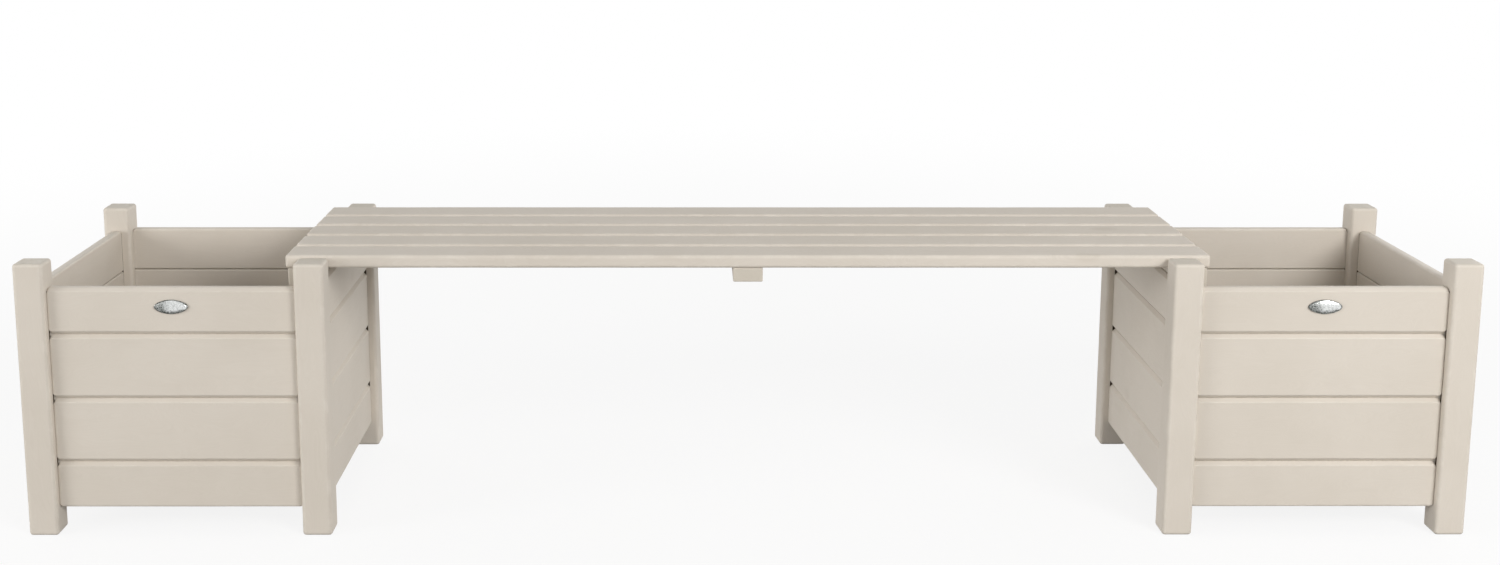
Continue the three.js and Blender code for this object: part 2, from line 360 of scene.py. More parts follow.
def timber_stations(length, end_radius, housing=()):
    """Places along a timber. The first and last are the caps, and next to them the ends are quarter
    circles, given as how far the section draws in. A housing is open in the middle one of three runs,
    whose two end places are doubled."""
    round_place = round_places(end_radius)
    round_inset = end_radius * round_share(round_place, end_radius)
    cap_inset = end_radius + SUPPORT
    breaks = [end_radius + SUPPORT, *housing, length - end_radius - SUPPORT]
    runs = [steps_between(start, end) for start, end in zip(breaks, breaks[1:])]
    places = np.concatenate([[0], round_place, *runs, length - round_place[::-1], [length]])
    straight = np.zeros(sum(map(len, runs)))
    inset = np.concatenate([[cap_inset], round_inset, straight, round_inset[::-1], [cap_inset]])
    shut_end = np.zeros(1 + len(round_place))
    open_runs = [np.full(len(run), float(index == 1)) for index, run in enumerate(runs)]
    return {
        "place": places,
        "inset": inset,
        "on_round": inset > 0,
        # darkens the paint of the ends: end grain, and painted shade
        "end": inset / cap_inset,
        "open": np.concatenate([shut_end, *open_runs, shut_end]),
        "drawn": np.zeros((len(places), 2)),
        "housed": np.zeros(len(places)),
    }


def uneven(points):
    """Slow unevenness of a face: the mean of a few sine waves of the place, each in its own direction."""
    directions = chance.normal(size=(WAVES, 3))
    directions /= np.linalg.norm(directions, axis=1, keepdims=True)
    lengths = chance.uniform(*WAVE_LENGTHS, WAVES)
    phases = chance.uniform(0, 2 * math.pi, WAVES)
    waves = np.sin(points @ directions.T * (2 * math.pi / lengths) + phases)
    return WAVE_HEIGHT * waves.mean(-1)


def finish_mesh(name, points, faces, fields, material):
    """Mesh with its doubles merged, its faces turned outwards and its fields as point attributes."""
    mesh = bpy.data.meshes.new(name)
    mesh.from_pydata(points, [], faces)
    for field, values in fields.items():
        kind, key = ("FLOAT_VECTOR", "vector") if values.ndim == 2 else ("FLOAT", "value")
        layer = mesh.attributes.new(field, kind, "POINT")
        layer.data.foreach_set(key, values.astype(np.float32).ravel())
    work = bmesh.new()
    work.from_mesh(mesh)
    bmesh.ops.remove_doubles(work, verts=work.verts, dist=MERGE)
    bmesh.ops.recalc_face_normals(work, faces=work.faces)
    work.to_mesh(mesh)
    work.free()
    mesh.shade_smooth()
    mesh.set_sharp_from_angle(angle=SHARP_ANGLE)
    mesh.materials.append(material)
    piece = bpy.data.objects.new(name, mesh)
    bpy.context.scene.collection.objects.link(piece)
    return piece


def grid_faces(rows, columns, first=0):
    """Quads of a grid that closes on itself across its columns, with a cap on its first and last row.
    Its points are numbered row by row, on from the first."""
    start = first + np.arange(rows - 1)[:, None] * columns
    column = np.arange(columns)
    following = (column + 1) % columns
    corners = [start + column, start + following, start + columns + following, start + columns + column]
    quads = np.stack(corners, -1).reshape(-1, 4).tolist()
    first_cap = (first + column[::-1]).tolist()
    last_cap = (first + (rows - 1) * columns + column).tolist()
    return quads + [first_cap, last_cap]


def upright_axes(across):
    """Directions of a lying timber whose section runs across and up: the third is along it."""
    return np.array([across, UP, np.cross(across, UP)])


def place_in(node, axes):
    """Origin and sizes of a node's box in its own directions: across, up its section, and along."""
    low, high = (np.array(corner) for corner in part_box(node))
    sizes = np.abs(axes) @ (high - low)
    return (low + high) / 2 - sizes / 2 @ axes, sizes


def timber(node, axes, section, stations, material, body):
    """A section carried along a node's box. At each place it moves in along its normals by the end's
    inset, by the housing's depth where one is open, and by a little unevenness, and a board's section
    is drawn in beside the posts."""
    origin, _ = place_in(node, axes)
    place, drawn = stations["place"], stations["drawn"]
    flat = np.broadcast_to(section["points"], (len(place), *section["points"].shape))
    local = np.concatenate([flat, np.broadcast_to(place[:, None, None], (*flat.shape[:2], 1))], 2)
    sunk = stations["open"][:, None] * section["sunk"]
    moved = stations["inset"][:, None] + HOUSING_D * sunk + uneven(local)
    local[..., :2] -= section["normals"] * moved[..., None]
    local[..., :2] += drawn[:, None] * section["draw"]
    shift = chance.uniform(-GRAIN_SHIFT, GRAIN_SHIFT, 3)
    fields = {
        "timber": (local[..., [2, 0, 1]] + shift).reshape(-1, 3),
        "edge": np.maximum(section["edge"], stations["on_round"][:, None]).ravel(),
        "end": np.broadcast_to(stations["end"][:, None], local.shape[:2]).ravel(),
        "seam": np.maximum(section["seam"], drawn[:, :1]).ravel(),
        # bare timber inside the housings, coloured darker as painted shade there
        "bare_and_shaded": np.maximum(sunk, stations["housed"][:, None]).ravel(),
        "tint": np.full(local[..., 0].size, chance.uniform(-1, 1)),
    }
    points = (origin + local @ axes).reshape(-1, 3)
    piece = finish_mesh(f"{node}_painted", points, grid_faces(*local.shape[:2]), fields, material)
    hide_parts(node)
    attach(piece, body)


# Material helpers

def add_node(tree, kind, values=None, **settings):
    """Adds a node with its settings. Each named input takes a value or the socket to link to it."""
    node = tree.nodes.new(kind)
    for key, value in settings.items():
        setattr(node, key, value)
    for socket, value in (values or {}).items():
        if isinstance(value, bpy.types.NodeSocket):
            tree.links.new(value, node.inputs[socket])
        else:
            node.inputs[socket].default_value = value
    return node


def calc(tree, operation, *values):
    return add_node(tree, "ShaderNodeMath", dict(enumerate(values)), operation=operation).outputs[0]


def stretch(tree, vector, factors):
    values = {0: vector, 1: factors}
    return add_node(tree, "ShaderNodeVectorMath", values, operation="MULTIPLY").outputs[0]


def fade(tree, value, low, high, out_low=0.0, out_high=1.0):
    """Runs smoothly from out_low at low to out_high at high, and stays there outside that range."""
    values = {"Value": value, "From Min": low, "From Max": high, "To Min": out_low, "To Max": out_high}
    return add_node(tree, "ShaderNodeMapRange", values, interpolation_type="SMOOTHSTEP").outputs["Result"]


def mix_colours(tree, share, first, second):
    """Colour inputs of the Mix node are its seventh and eighth, and its colour output is its third."""
    return add_node(tree, "ShaderNodeMix", {0: share, 6: first, 7: second}, data_type="RGBA").outputs[2]


def noise(tree, vector, scale=1.0, detail=2.0, roughness=0.5):
    values = {"Vector": vector, "Scale": scale, "Detail": detail, "Roughness": roughness}
    return add_node(tree, "ShaderNodeTexNoise", values).outputs["Fac"]


def scattered_dots(tree, vector, scale, empty_share, *ranges):
    """Round marks in the middle of random cells, most of which stay empty. Each range says between which
    distances from the middle a mask runs smoothly from 0 to 1."""
    cells = add_node(tree, "ShaderNodeTexVoronoi", {"Vector": vector, "Scale": scale}).outputs
    pick = add_node(tree, "ShaderNodeSeparateColor", {0: cells["Color"]}).outputs[0]
    kept = calc(tree, "GREATER_THAN", pick, empty_share)
    return [calc(tree, "MULTIPLY", fade(tree, cells["Distance"], *span), kept) for span in ranges]


def attribute(tree, name, output="Fac"):
    return add_node(tree, "ShaderNodeAttribute", attribute_name=name).outputs[output]


def object_place(tree):
    return add_node(tree, "ShaderNodeTexCoord").outputs["Object"]


def srgb(red, green, blue):
    """A colour given as it shows on a screen, in 0 to 255, as the linear values that shaders take. The
    numbers are those of the sRGB curve: a straight start, and a power of 2.4 above it."""
    shown = np.array([red, green, blue]) / 255
    linear = np.where(shown <= 0.04045, shown / 12.92, ((shown + 0.055) / 1.055) ** 2.4)
    return (*linear.tolist(), 1.0)


def new_group(name, inputs, outputs):
    """Empty node group with named sockets. Returns the group, its input sockets and its output node."""
    group = bpy.data.node_groups.new(name, "ShaderNodeTree")
    for socket, kind in inputs.items():
        group.interface.new_socket(socket, in_out="INPUT", socket_type=f"NodeSocket{kind}")
    for socket in outputs:
        group.interface.new_socket(socket, in_out="OUTPUT", socket_type="NodeSocketFloat")
    entry = group.nodes.new("NodeGroupInput")
    return group, entry.outputs, group.nodes.new("NodeGroupOutput")


def use_group(tree, group, values):
    return add_node(tree, "ShaderNodeGroup", values, node_tree=group).outputs


# Node groups

# Stretches and scales say how often a pattern repeats in a metre. Stretches give that along the timber,
# across it and up its section. Ranges are where a mask starts and ends, in the values of its source.
TWIST_STRETCH = (3.0, 14.0, 14.0)
RINGS_STRETCH = (5.0, 210.0, 210.0)
FIBRES_STRETCH = (22.0, 1500.0, 1500.0)
STREAK_RANGE = (0.36, 0.66)
STREAK_RELIEF = 0.75
FIBRE_RELIEF = 0.25
KNOT_STRETCH = (6.5, 11.0, 11.0)
KNOTLESS_SHARE = 0.8
KNOT_RANGE = (0.1, 0.03)
KNOT_RING_RANGE = (0.16, 0.09)
PEBBLE_SCALE = 620.0
SPECK_SCALE = 75.0
SPECKLESS_SHARE = 0.93
SPECK_RANGE = (0.05, 0.015)
CLOUD_SCALE = 7.0
THIN_HIGHLIGHT_SCALE = 34.0
THIN_HIGHLIGHT_RANGE = (0.42, 0.68)
CRUMB_SCALE = 160.0
CRUMB_RANGE = (0.3, 0.7)
CRUMB_LEAST = 0.35
DUST_RANGE = (0.8, 1.0)


def timber_grain_group():
    """Growth rings under paint: noise drawn out along the timber, twisted by a slower noise, and finer
    noise for the fibres."""
    group, entry, out = new_group("timber_grain", {"Timber": "Vector"}, ("Streak", "Height"))
    twist = noise(group, stretch(group, entry["Timber"], TWIST_STRETCH))
    values = {0: entry["Timber"], 1: twist}
    twisted = add_node(group, "ShaderNodeVectorMath", values, operation="ADD").outputs[0]
    rings = noise(group, stretch(group, twisted, RINGS_STRETCH), detail=3.0, roughness=0.6)
    fibres = noise(group, stretch(group, entry["Timber"], FIBRES_STRETCH), roughness=0.7)
    streak = fade(group, rings, *STREAK_RANGE)
    streak_height = calc(group, "MULTIPLY", streak, STREAK_RELIEF)
    fibre_height = calc(group, "MULTIPLY", fibres, FIBRE_RELIEF)
    group.links.new(streak, out.inputs["Streak"])
    group.links.new(calc(group, "ADD", streak_height, fibre_height), out.inputs["Height"])
    return group


def knots_group():
    """Rare knots that show through the paint, each a dot drawn out along the timber inside a ring."""
    group, entry, out = new_group("knots", {"Timber": "Vector"}, ("Knot", "Ring"))
    place = stretch(group, entry["Timber"], KNOT_STRETCH)
    knot, outer = scattered_dots(group, place, 1.0, KNOTLESS_SHARE, KNOT_RANGE, KNOT_RING_RANGE)
    group.links.new(knot, out.inputs["Knot"])
    group.links.new(calc(group, "SUBTRACT", outer, knot), out.inputs["Ring"])
    return group


def sprayed_skin_group():
    """The skin of a sprayed satin paint: fine pebbles with a few specks of dust caught in it, and the slow
    clouds of its colour."""
    group, entry, out = new_group("sprayed_skin", {"Place": "Vector"}, ("Height", "Cloud"))
    pebbles = noise(group, entry["Place"], PEBBLE_SCALE, roughness=0.45)
    specks = scattered_dots(group, entry["Place"], SPECK_SCALE, SPECKLESS_SHARE, SPECK_RANGE)[0]
    cloud = noise(group, entry["Place"], CLOUD_SCALE, detail=3.0, roughness=0.55)
    group.links.new(calc(group, "ADD", pebbles, specks), out.inputs["Height"])
    group.links.new(cloud, out.inputs["Cloud"])
    return group


def wear_group():
    """Masks broken up by noise: paint drawn thin on the arrises, which also stands as a painted
    highlight there, and dust that settles in the joints.
    """
    inputs = {"Place": "Vector", "Edge": "Float", "Seam": "Float"}
    group, entry, out = new_group("wear", inputs, ("Thin and highlight", "Dust"))
    patches = noise(group, entry["Place"], THIN_HIGHLIGHT_SCALE, detail=4.0, roughness=0.65)
    crumbs = noise(group, entry["Place"], CRUMB_SCALE, detail=3.0, roughness=0.6)
    thin_and_highlight = calc(group, "MULTIPLY", entry["Edge"], fade(group, patches, *THIN_HIGHLIGHT_RANGE))
    crumbs = fade(group, crumbs, *CRUMB_RANGE, out_low=CRUMB_LEAST)
    dust = calc(group, "MULTIPLY", fade(group, entry["Seam"], *DUST_RANGE), crumbs)
    group.links.new(thin_and_highlight, out.inputs["Thin and highlight"])
    group.links.new(dust, out.inputs["Dust"])
    return group


# Materials

# Paint
PAINT = srgb(217, 209, 198)
PAINT_SHADE = srgb(203, 194, 181)
# paler paint on the arrises: thin paint, and a painted highlight
PAINT_THIN_AND_HIGHLIGHT = srgb(226, 219, 208)
PAINT_DUST = srgb(150, 139, 122)
# darker paint on end grain, which is also painted shade on the ends
PAINT_END_AND_SHADE = srgb(188, 181, 166)
# bare timber inside the housings, darker than bare timber as painted shade
BARE_TIMBER_IN_SHADE = srgb(96, 76, 54)
PAINT_SPECULAR = 0.26

# How much each effect shades or covers the paint
PAINT_CLOUD_RANGE = (0.3, 0.7)
TINT_SHARE = 0.22
DRIFT_SHARE = 0.3
KNOT_SHARE = 0.6
KNOT_RING_SHARE = 0.35
THIN_AND_HIGHLIGHT_SHARE = 0.45
DUST_SHARE = 0.15
END_AND_SHADE_SHARE = 0.45

# What each effect adds to the paint's roughness and to its relief
STREAK_ROUGHNESS = 0.05
DUST_ROUGHNESS = 0.2
THIN_HIGHLIGHT_ROUGHNESS = -0.06
KNOT_RELIEF = 0.5
GRAIN_BUMP = 0.03 * MM
SKIN_BUMP = 0.012 * MM

# Metal of the oval plates
METAL = srgb(230, 232, 231)
# dark of the plates' patina and of their painted reflections, and of the painted shade in the screws'
# recess
METAL_DARK = srgb(58, 62, 56)
MOTTLE_SCALE = 1100.0
MOTTLE_RANGE = (0.36, 0.64)
MOTTLE_LEAST = 0.55
MARK_RANGE = (0.35, 0.95)
MARK_SHARE = 0.45
METAL_ROUGHNESS = 0.2
GRIME_AND_PAINTED_REFLECTION_ROUGHNESS = 0.3
SCRATCH_STRETCH = (900.0, 900.0, 2600.0)
SCRATCH_BUMP = 0.02 * MM

# Zinc of the screws, with painted shade in their recess
SCREW_ZINC = srgb(178, 180, 180)
ZINC_CLOUD_SCALE = 900.0
ZINC_CLOUD_RANGE = (0.2, 0.8)
ZINC_ROUGHNESSES = (0.28, 0.5)
ZINC_BUMP = 0.01 * MM
RECESS_PAINTED_SHADE = 0.8


def new_material(name):
    material = bpy.data.materials.new(name)
    material.use_nodes = True
    tree = material.node_tree
    return material, tree, tree.nodes["Principled BSDF"]


def link_surface(tree, shader, colour, dullness, bump):
    tree.links.new(colour, shader.inputs["Base Color"])
    tree.links.new(dullness, shader.inputs["Roughness"])
    tree.links.new(bump.outputs["Normal"], shader.inputs["Normal"])


def satin_paint(name, groups, grain_share, roughness):
    """Sprayed satin paint on timber. The colour drifts slowly and from board to board, darkens over
    grain and knots, pales on the arrises as thin paint and as a painted highlight, holds a little dust in
    the joints, and is darker on end grain, which is also painted shade on the ends. Inside the housings
    the timber is bare, and darker than bare timber as painted shade there."""
    material, tree, shader = new_material(name)
    shader.inputs["Specular IOR Level"].default_value = PAINT_SPECULAR
    timber_place = attribute(tree, "timber", "Vector")
    place = object_place(tree)
    grain = use_group(tree, groups["grain"], {"Timber": timber_place})
    knots = use_group(tree, groups["knots"], {"Timber": timber_place})
    skin = use_group(tree, groups["skin"], {"Place": place})
    masks = {"Place": place, "Edge": attribute(tree, "edge"), "Seam": attribute(tree, "seam")}
    wear = use_group(tree, groups["wear"], masks)

    cloud = fade(tree, skin["Cloud"], *PAINT_CLOUD_RANGE)
    drift = calc(tree, "MULTIPLY_ADD", attribute(tree, "tint"), TINT_SHARE, cloud)
    drift = calc(tree, "MULTIPLY", drift, DRIFT_SHARE)
    shade = calc(tree, "MULTIPLY_ADD", grain["Streak"], grain_share, drift)
    stain = calc(tree, "MULTIPLY", knots["Knot"], KNOT_SHARE)
    stain = calc(tree, "MULTIPLY_ADD", knots["Ring"], KNOT_RING_SHARE, stain)
    darkened = add_node(tree, "ShaderNodeMath", {0: shade, 1: stain}, operation="ADD", use_clamp=True)
    colour = mix_colours(tree, darkened.outputs[0], PAINT, PAINT_SHADE)
    layers = [
        # thin paint on the arrises, which is also a painted highlight
        (wear["Thin and highlight"], THIN_AND_HIGHLIGHT_SHARE, PAINT_THIN_AND_HIGHLIGHT),
        (wear["Dust"], DUST_SHARE, PAINT_DUST),
        # end grain, which is darkened also as painted shade
        (attribute(tree, "end"), END_AND_SHADE_SHARE, PAINT_END_AND_SHADE),
    ]
    for mask, share, layer in layers:
        colour = mix_colours(tree, calc(tree, "MULTIPLY", mask, share), colour, layer)
    # bare timber in the housings, darkened as painted shade
    colour = mix_colours(tree, attribute(tree, "bare_and_shaded"), colour, BARE_TIMBER_IN_SHADE)

    dullness = calc(tree, "MULTIPLY_ADD", grain["Streak"], STREAK_ROUGHNESS, roughness)
    dullness = calc(tree, "MULTIPLY_ADD", wear["Dust"], DUST_ROUGHNESS, dullness)
    dullness = calc(tree, "MULTIPLY_ADD", wear["Thin and highlight"], THIN_HIGHLIGHT_ROUGHNESS, dullness)

    relief = calc(tree, "MULTIPLY_ADD", knots["Knot"], KNOT_RELIEF, grain["Height"])
    coarse = add_node(tree, "ShaderNodeBump", {"Height": relief, "Distance": GRAIN_BUMP})
    values = {"Height": skin["Height"], "Distance": SKIN_BUMP, "Normal": coarse.outputs["Normal"]}
    link_surface(tree, shader, colour, dullness, add_node(tree, "ShaderNodeBump", values))
    return material


def hammered_metal():
    """Bright cast metal, dulled and darkened where the hammer marks are deep, where patina lies and
    where dark reflections are painted in.
    """
    material, tree, shader = new_material("hammered_metal")
    shader.inputs["Metallic"].default_value = 1.0
    place = object_place(tree)
    mottle = noise(tree, place, MOTTLE_SCALE, detail=4.0, roughness=0.7)
    mottle = fade(tree, mottle, *MOTTLE_RANGE, out_low=MOTTLE_LEAST)
    marks = calc(tree, "MULTIPLY", fade(tree, attribute(tree, "hollow"), *MARK_RANGE), MARK_SHARE)
    # patina in the marks and by the rim, together with the painted dark reflections
    grime_and_painted_reflection = calc(tree, "MULTIPLY", calc(tree, "ADD", attribute(tree, "patina_and_painted_reflection"), marks), mottle)
    dullness = calc(tree, "MULTIPLY_ADD", grime_and_painted_reflection, GRIME_AND_PAINTED_REFLECTION_ROUGHNESS, METAL_ROUGHNESS)
    scratches = noise(tree, stretch(tree, place, SCRATCH_STRETCH), detail=3.0, roughness=0.6)
    bump = add_node(tree, "ShaderNodeBump", {"Height": scratches, "Distance": SCRATCH_BUMP})
    link_surface(tree, shader, mix_colours(tree, grime_and_painted_reflection, METAL, METAL_DARK), dullness, bump)
    return material


def zinc_plate():
    """Plated screw steel: cloudy bright zinc, with painted shade in the recess."""
    material, tree, shader = new_material("zinc_plate")
    shader.inputs["Metallic"].default_value = 1.0
    cloud = noise(tree, object_place(tree), ZINC_CLOUD_SCALE, detail=4.0, roughness=0.6)
    # painted shade: the recess darkened towards the dark metal
    shade = calc(tree, "MULTIPLY", attribute(tree, "hollow"), RECESS_PAINTED_SHADE)
    dullness = fade(tree, cloud, *ZINC_CLOUD_RANGE, *ZINC_ROUGHNESSES)
    bump = add_node(tree, "ShaderNodeBump", {"Height": cloud, "Distance": ZINC_BUMP})
    link_surface(tree, shader, mix_colours(tree, shade, SCREW_ZINC, METAL_DARK), dullness, bump)
    return material


# Planters

def planter_centre(box):
    places = [f"{end}_{side}" for end in ("front", "back") for side in ("outer", "inner")]
    corners = [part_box(f"{box}_{place}_post") for place in places]
    return np.mean([np.array(low) + np.array(high) for low, high in corners], axis=0) / 2


def facing(node, centre):
    """Direction from a planter's centre to one of its walls, along X or Y."""
    low, high = (np.array(corner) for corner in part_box(node))
    away = (low + high) / 2 - centre
    axis = int(abs(away[1]) > abs(away[0]))
    direction = np.zeros(3)
    direction[axis] = np.sign(away[axis])
    return direction


def corner_post(node, centre, wall, material):
    """Square post. Its housings lie where the walls meet it, and its section starts at the outer corner."""
    low, high = (np.array(corner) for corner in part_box(node))
    towards = np.sign(centre - (low + high) / 2)
    axes = np.diag([towards[0], towards[1], 1.0])
    section = post_section(high[0] - low[0], wall["near"], wall["far"])
    stations = timber_stations(high[2] - low[2], POST_END_R, (wall["low"], wall["high"]))
    timber(node, axes, section, stations, material, "planters")


def wall_board(node, centre, wall, top, bottom, material):
    axes = upright_axes(-facing(node, centre))
    _, sizes = place_in(node, axes)
    height = sizes[1] - (TONGUE_H if top == "tongued" else 0)
    section = board_section(sizes[0], height, top, bottom)
    stations = board_stations(sizes[2], (sizes[2] - wall["between_posts"]) / 2)
    timber(node, axes, section, stations, material, "planters")


def plain_timber(node, axes, radius, end_radius, material, body):
    _, sizes = place_in(node, axes)
    section = rounded_rectangle(*sizes[:2], radius)
    timber(node, axes, section, timber_stations(sizes[2], end_radius), material, body)


def wall_limits(box, centre):
    """Where the walls' ends lie in a post: how far behind its outer faces, and between which heights.
    Also how far apart the posts stand."""
    post_low, post_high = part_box(f"{box}_front_outer_post")
    top_low, top_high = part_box(f"{box}_front_board_1")
    bottom_low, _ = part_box(f"{box}_front_board_4")
    return {
        "near": top_low[1] - post_low[1] + END_EASE_D - HOUSING_PLAY,
        "far": top_high[1] - post_low[1] + HOUSING_PLAY,
        "low": bottom_low[2] + END_CORNER_D - HOUSING_PLAY,
        "high": top_high[2] - END_CORNER_D + HOUSING_PLAY,
        "between_posts": 2 * min(abs(post_low[0] - centre[0]), abs(post_high[0] - centre[0])),
    }


def superellipse(turn):
    """Unit superellipse: the cosine and sine of the turn, each raised to 2 over the exponent."""
    round_points = np.stack([np.cos(turn), np.sin(turn)], -1)
    return np.sign(round_points) * np.abs(round_points) ** (2 / PLATE_EXPONENT)


def ramp(value, start, reach):
    """0 up to the start, then a straight rise to 1 over the reach."""
    return np.clip((value - start) / reach, 0, 1)


def bell(value, middle, width):
    """e to the power of minus the square of the distance from the middle over the width."""
    return np.exp(-((value - middle) / width) ** 2)


def plate_patina_and_painted_reflection(side, up, ring):
    """Dark areas of an oval plate: painted dark reflections that are ramps towards its left end and its
    lower edge, the second stronger on the right, and a spot that is the product of two bells; and
    patina in a bell beside the rim."""
    left_end = PAINTED_REFLECTION_LEFT * ramp(-side, *PAINTED_REFLECTION_LEFT_RAMP)
    lower_edge = PAINTED_REFLECTION_LOWER * (PAINTED_REFLECTION_LOWER_LEAN + side) * ramp(-up, *PAINTED_REFLECTION_LOWER_RAMP)
    spot = bell(side, *PAINTED_REFLECTION_SPOT_ACROSS) * bell(up, *PAINTED_REFLECTION_SPOT_UP)
    return np.clip(left_end + lower_edge + bell(ring, *PATINA_RIM) + spot, 0, 1)


def oval_plate(node, material):
    """Domed oval with hammer marks. Rings of a superellipse run from the crown to the rim, down the
    rim and over the flat back. The dome is the square root of 1 minus the ring squared, a bell-shaped
    groove sets off the lip, and each hammer mark sinks a smooth bowl around its own centre: 1 minus the
    square of the distance over its size, to a power. Painted dark reflections darken parts of it, and
    patina the whole rim."""
    low, high = (np.array(corner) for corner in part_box(node))
    half_w, depth, half_h = (high - low) / [2, 1, 2]
    ring = np.sin(np.linspace(PLATE_FIRST_TURN, 1, PLATE_RINGS) * math.pi / 2)[:, None]
    turn = np.linspace(0, 2 * math.pi, PLATE_TURN_STEPS, endpoint=False)
    oval = superellipse(turn) * [half_w, half_h]
    face = ring[..., None] * oval
    dome = (depth - PLATE_RIM) * np.sqrt(np.maximum(1 - ring**2, 0)) * np.ones_like(turn)
    marks = chance.uniform(-1, 1, (HAMMER_MARKS, 2)) * [half_w, half_h]
    distance = np.linalg.norm(face[:, :, None] - marks, axis=3)
    size = chance.uniform(*HAMMER_SIZE_SHARES, HAMMER_MARKS) * HAMMER_MARK_R
    bowls = np.clip(1 - (distance / size) ** 2, 0, 1) ** HAMMER_BOWL_EXPONENT
    hollow = bowls.max(2)
    inside_lip = np.clip((PLATE_LIP_SHARE - ring) * HAMMER_FADE, 0, 1)
    hammered = HAMMER_MARK_D * (hollow - HAMMER_MIDDLE) * inside_lip
    lip = PLATE_LIP_GROOVE * bell(ring, PLATE_LIP_SHARE, PLATE_LIP_WIDTH_SHARE)
    face_height = PLATE_RIM + np.maximum(dome - hammered - lip, 0)
    rim_height = np.outer([PLATE_RIM * PLATE_CHAMFER_SHARE, 0], np.ones_like(turn))
    across = np.concatenate([face, np.stack([oval, oval * PLATE_BACK_SHARE])])
    proud = np.concatenate([face_height, rim_height])
    points = np.stack([across[..., 0], depth - proud, across[..., 1]], -1)
    points += [(low[0] + high[0]) / 2, low[1], (low[2] + high[2]) / 2]
    side, up = np.moveaxis(face / [half_w, half_h], -1, 0)
    on_rim = np.ones_like(rim_height)
    fields = {
        "hollow": np.concatenate([hollow, on_rim]).ravel(),
        # patina on the rim and back, and painted dark reflections on the face
        "patina_and_painted_reflection": np.concatenate([plate_patina_and_painted_reflection(side, up, ring), on_rim]).ravel(),
    }
    faces = grid_faces(*points.shape[:2])
    piece = finish_mesh(f"{node}_hammered", points.reshape(-1, 3), faces, fields, material)
    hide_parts(node)
    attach(piece, "planters")


def planter(box, paint, metal):
    centre = planter_centre(box)
    wall = wall_limits(box, centre)
    for end in ("front", "back"):
        for side in ("outer", "inner"):
            corner_post(f"{box}_{end}_{side}_post", centre, wall, paint)
    kinds = [("bevelled", "grooved"), ("tongued", "grooved"), ("tongued", "grooved"), ("tongued", "round")]
    for side in ("front", "inner", "back", "outer"):
        for number, (top, bottom) in enumerate(kinds, 1):
            wall_board(f"{box}_{side}_board_{number}", centre, wall, top, bottom, paint)
    for side in ("inner", "outer"):
        node = f"{box}_{side}_cleat"
        axes = upright_axes(-facing(node, centre))
        plain_timber(node, axes, INNER_EDGE_R, INNER_END_R, paint, "planters")
    for number in range(1, FLOOR_SLATS + 1):
        node = f"{box}_floor_slat_{number}"
        axes = upright_axes(BACK)
        plain_timber(node, axes, INNER_EDGE_R, INNER_END_R, paint, "planters")
    oval_plate(f"{box}_oval_plate", metal)


# Seat

def soft_edge(distance):
    """0 outside a screw's recess and 1 inside, with a straight rise over its soft edge."""
    return np.clip(distance / RECESS_SOFTNESS + 0.5, 0, 1)


def screw_head():
    """Points of a raised screw head and the mask of its recess, as rings about its axis. The crown falls
    with the square of the radius, a cross-shaped recess sinks into it, and the last ring is buried."""
    radius = SCREW_R * np.linspace(SCREW_FIRST_RING, 1, SCREW_RING_STEPS)[:, None]
    turn = np.linspace(0, 2 * math.pi, SCREW_TURN_STEPS, endpoint=False)
    across, up = radius * np.cos(turn), radius * np.sin(turn)
    crown = SCREW_CROWN * (1 - (radius / SCREW_R) ** 2) * np.ones_like(turn)
    narrow = np.minimum(np.abs(across), np.abs(up))
    recess = soft_edge(RECESS_HALF_W - narrow) * soft_edge(RECESS_REACH - radius)
    face = np.stack([across, up, -(crown - RECESS_D * recess)], -1)
    buried = face[-1:] * [1, 1, 0] + [0, 0, SCREW_CROWN]
    hollow = np.concatenate([recess, np.zeros((1, SCREW_TURN_STEPS))])
    return np.concatenate([face, buried]), hollow


def screw_heads(batten, slats, x, z, material):
    """Screw heads under a batten, two under each slat, each turned by its own angle."""
    head, hollow = screw_head()
    places = []
    for slat in slats:
        low, high = (np.array(corner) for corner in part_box(slat))
        middle, width = (low[1] + high[1]) / 2, high[1] - low[1]
        places += [(x, middle - SCREW_SHARE * width, z), (x, middle + SCREW_SHARE * width, z)]
    points, faces = [], []
    for number, place in enumerate(places):
        angle = chance.uniform(0, math.pi)
        cos, sin = math.cos(angle), math.sin(angle)
        spin = np.array([[cos, sin, 0], [-sin, cos, 0], [0, 0, 1]])
        points.append((head @ spin + place).reshape(-1, 3))
        faces += grid_faces(*hollow.shape, first=number * hollow.size)
    fields = {"hollow": np.tile(hollow.ravel(), len(places))}
    piece = finish_mesh(f"{batten}_screws", np.concatenate(points), faces, fields, material)
    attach(piece, "seat")


def seat(paint, zinc):
    slats = [f"seat_slat_{number}" for number in range(1, SEAT_SLATS + 1)]
    for slat in slats:
        axes = upright_axes(BACK)
        plain_timber(slat, axes, SLAT_EDGE_R, SLAT_END_R, paint, "seat")
    middle = "seat_middle_batten"
    axes = upright_axes(-RIGHT)
    plain_timber(middle, axes, BATTEN_EDGE_R, BATTEN_END_R, paint, "seat")
    low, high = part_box(middle)
    screw_heads(middle, slats, (low[0] + high[0]) / 2, low[2], zinc)
    for side, away in (("left", -RIGHT), ("right", RIGHT)):
        batten = f"seat_{side}_batten"
        axes = upright_axes(away)
        _, sizes = place_in(batten, axes)
        section = end_batten_section(sizes[0], sizes[1] - BATTEN_T)
        stations = timber_stations(sizes[2], BATTEN_END_R)
        timber(batten, axes, section, stations, paint, "seat")
        low, high = (np.array(corner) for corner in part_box(batten))
        lip_middle = (low[0] + high[0]) / 2 + away[0] * LIP_OFFSET / 2
        screw_heads(batten, slats, lip_middle, low[2], zinc)


# Stage, light and camera

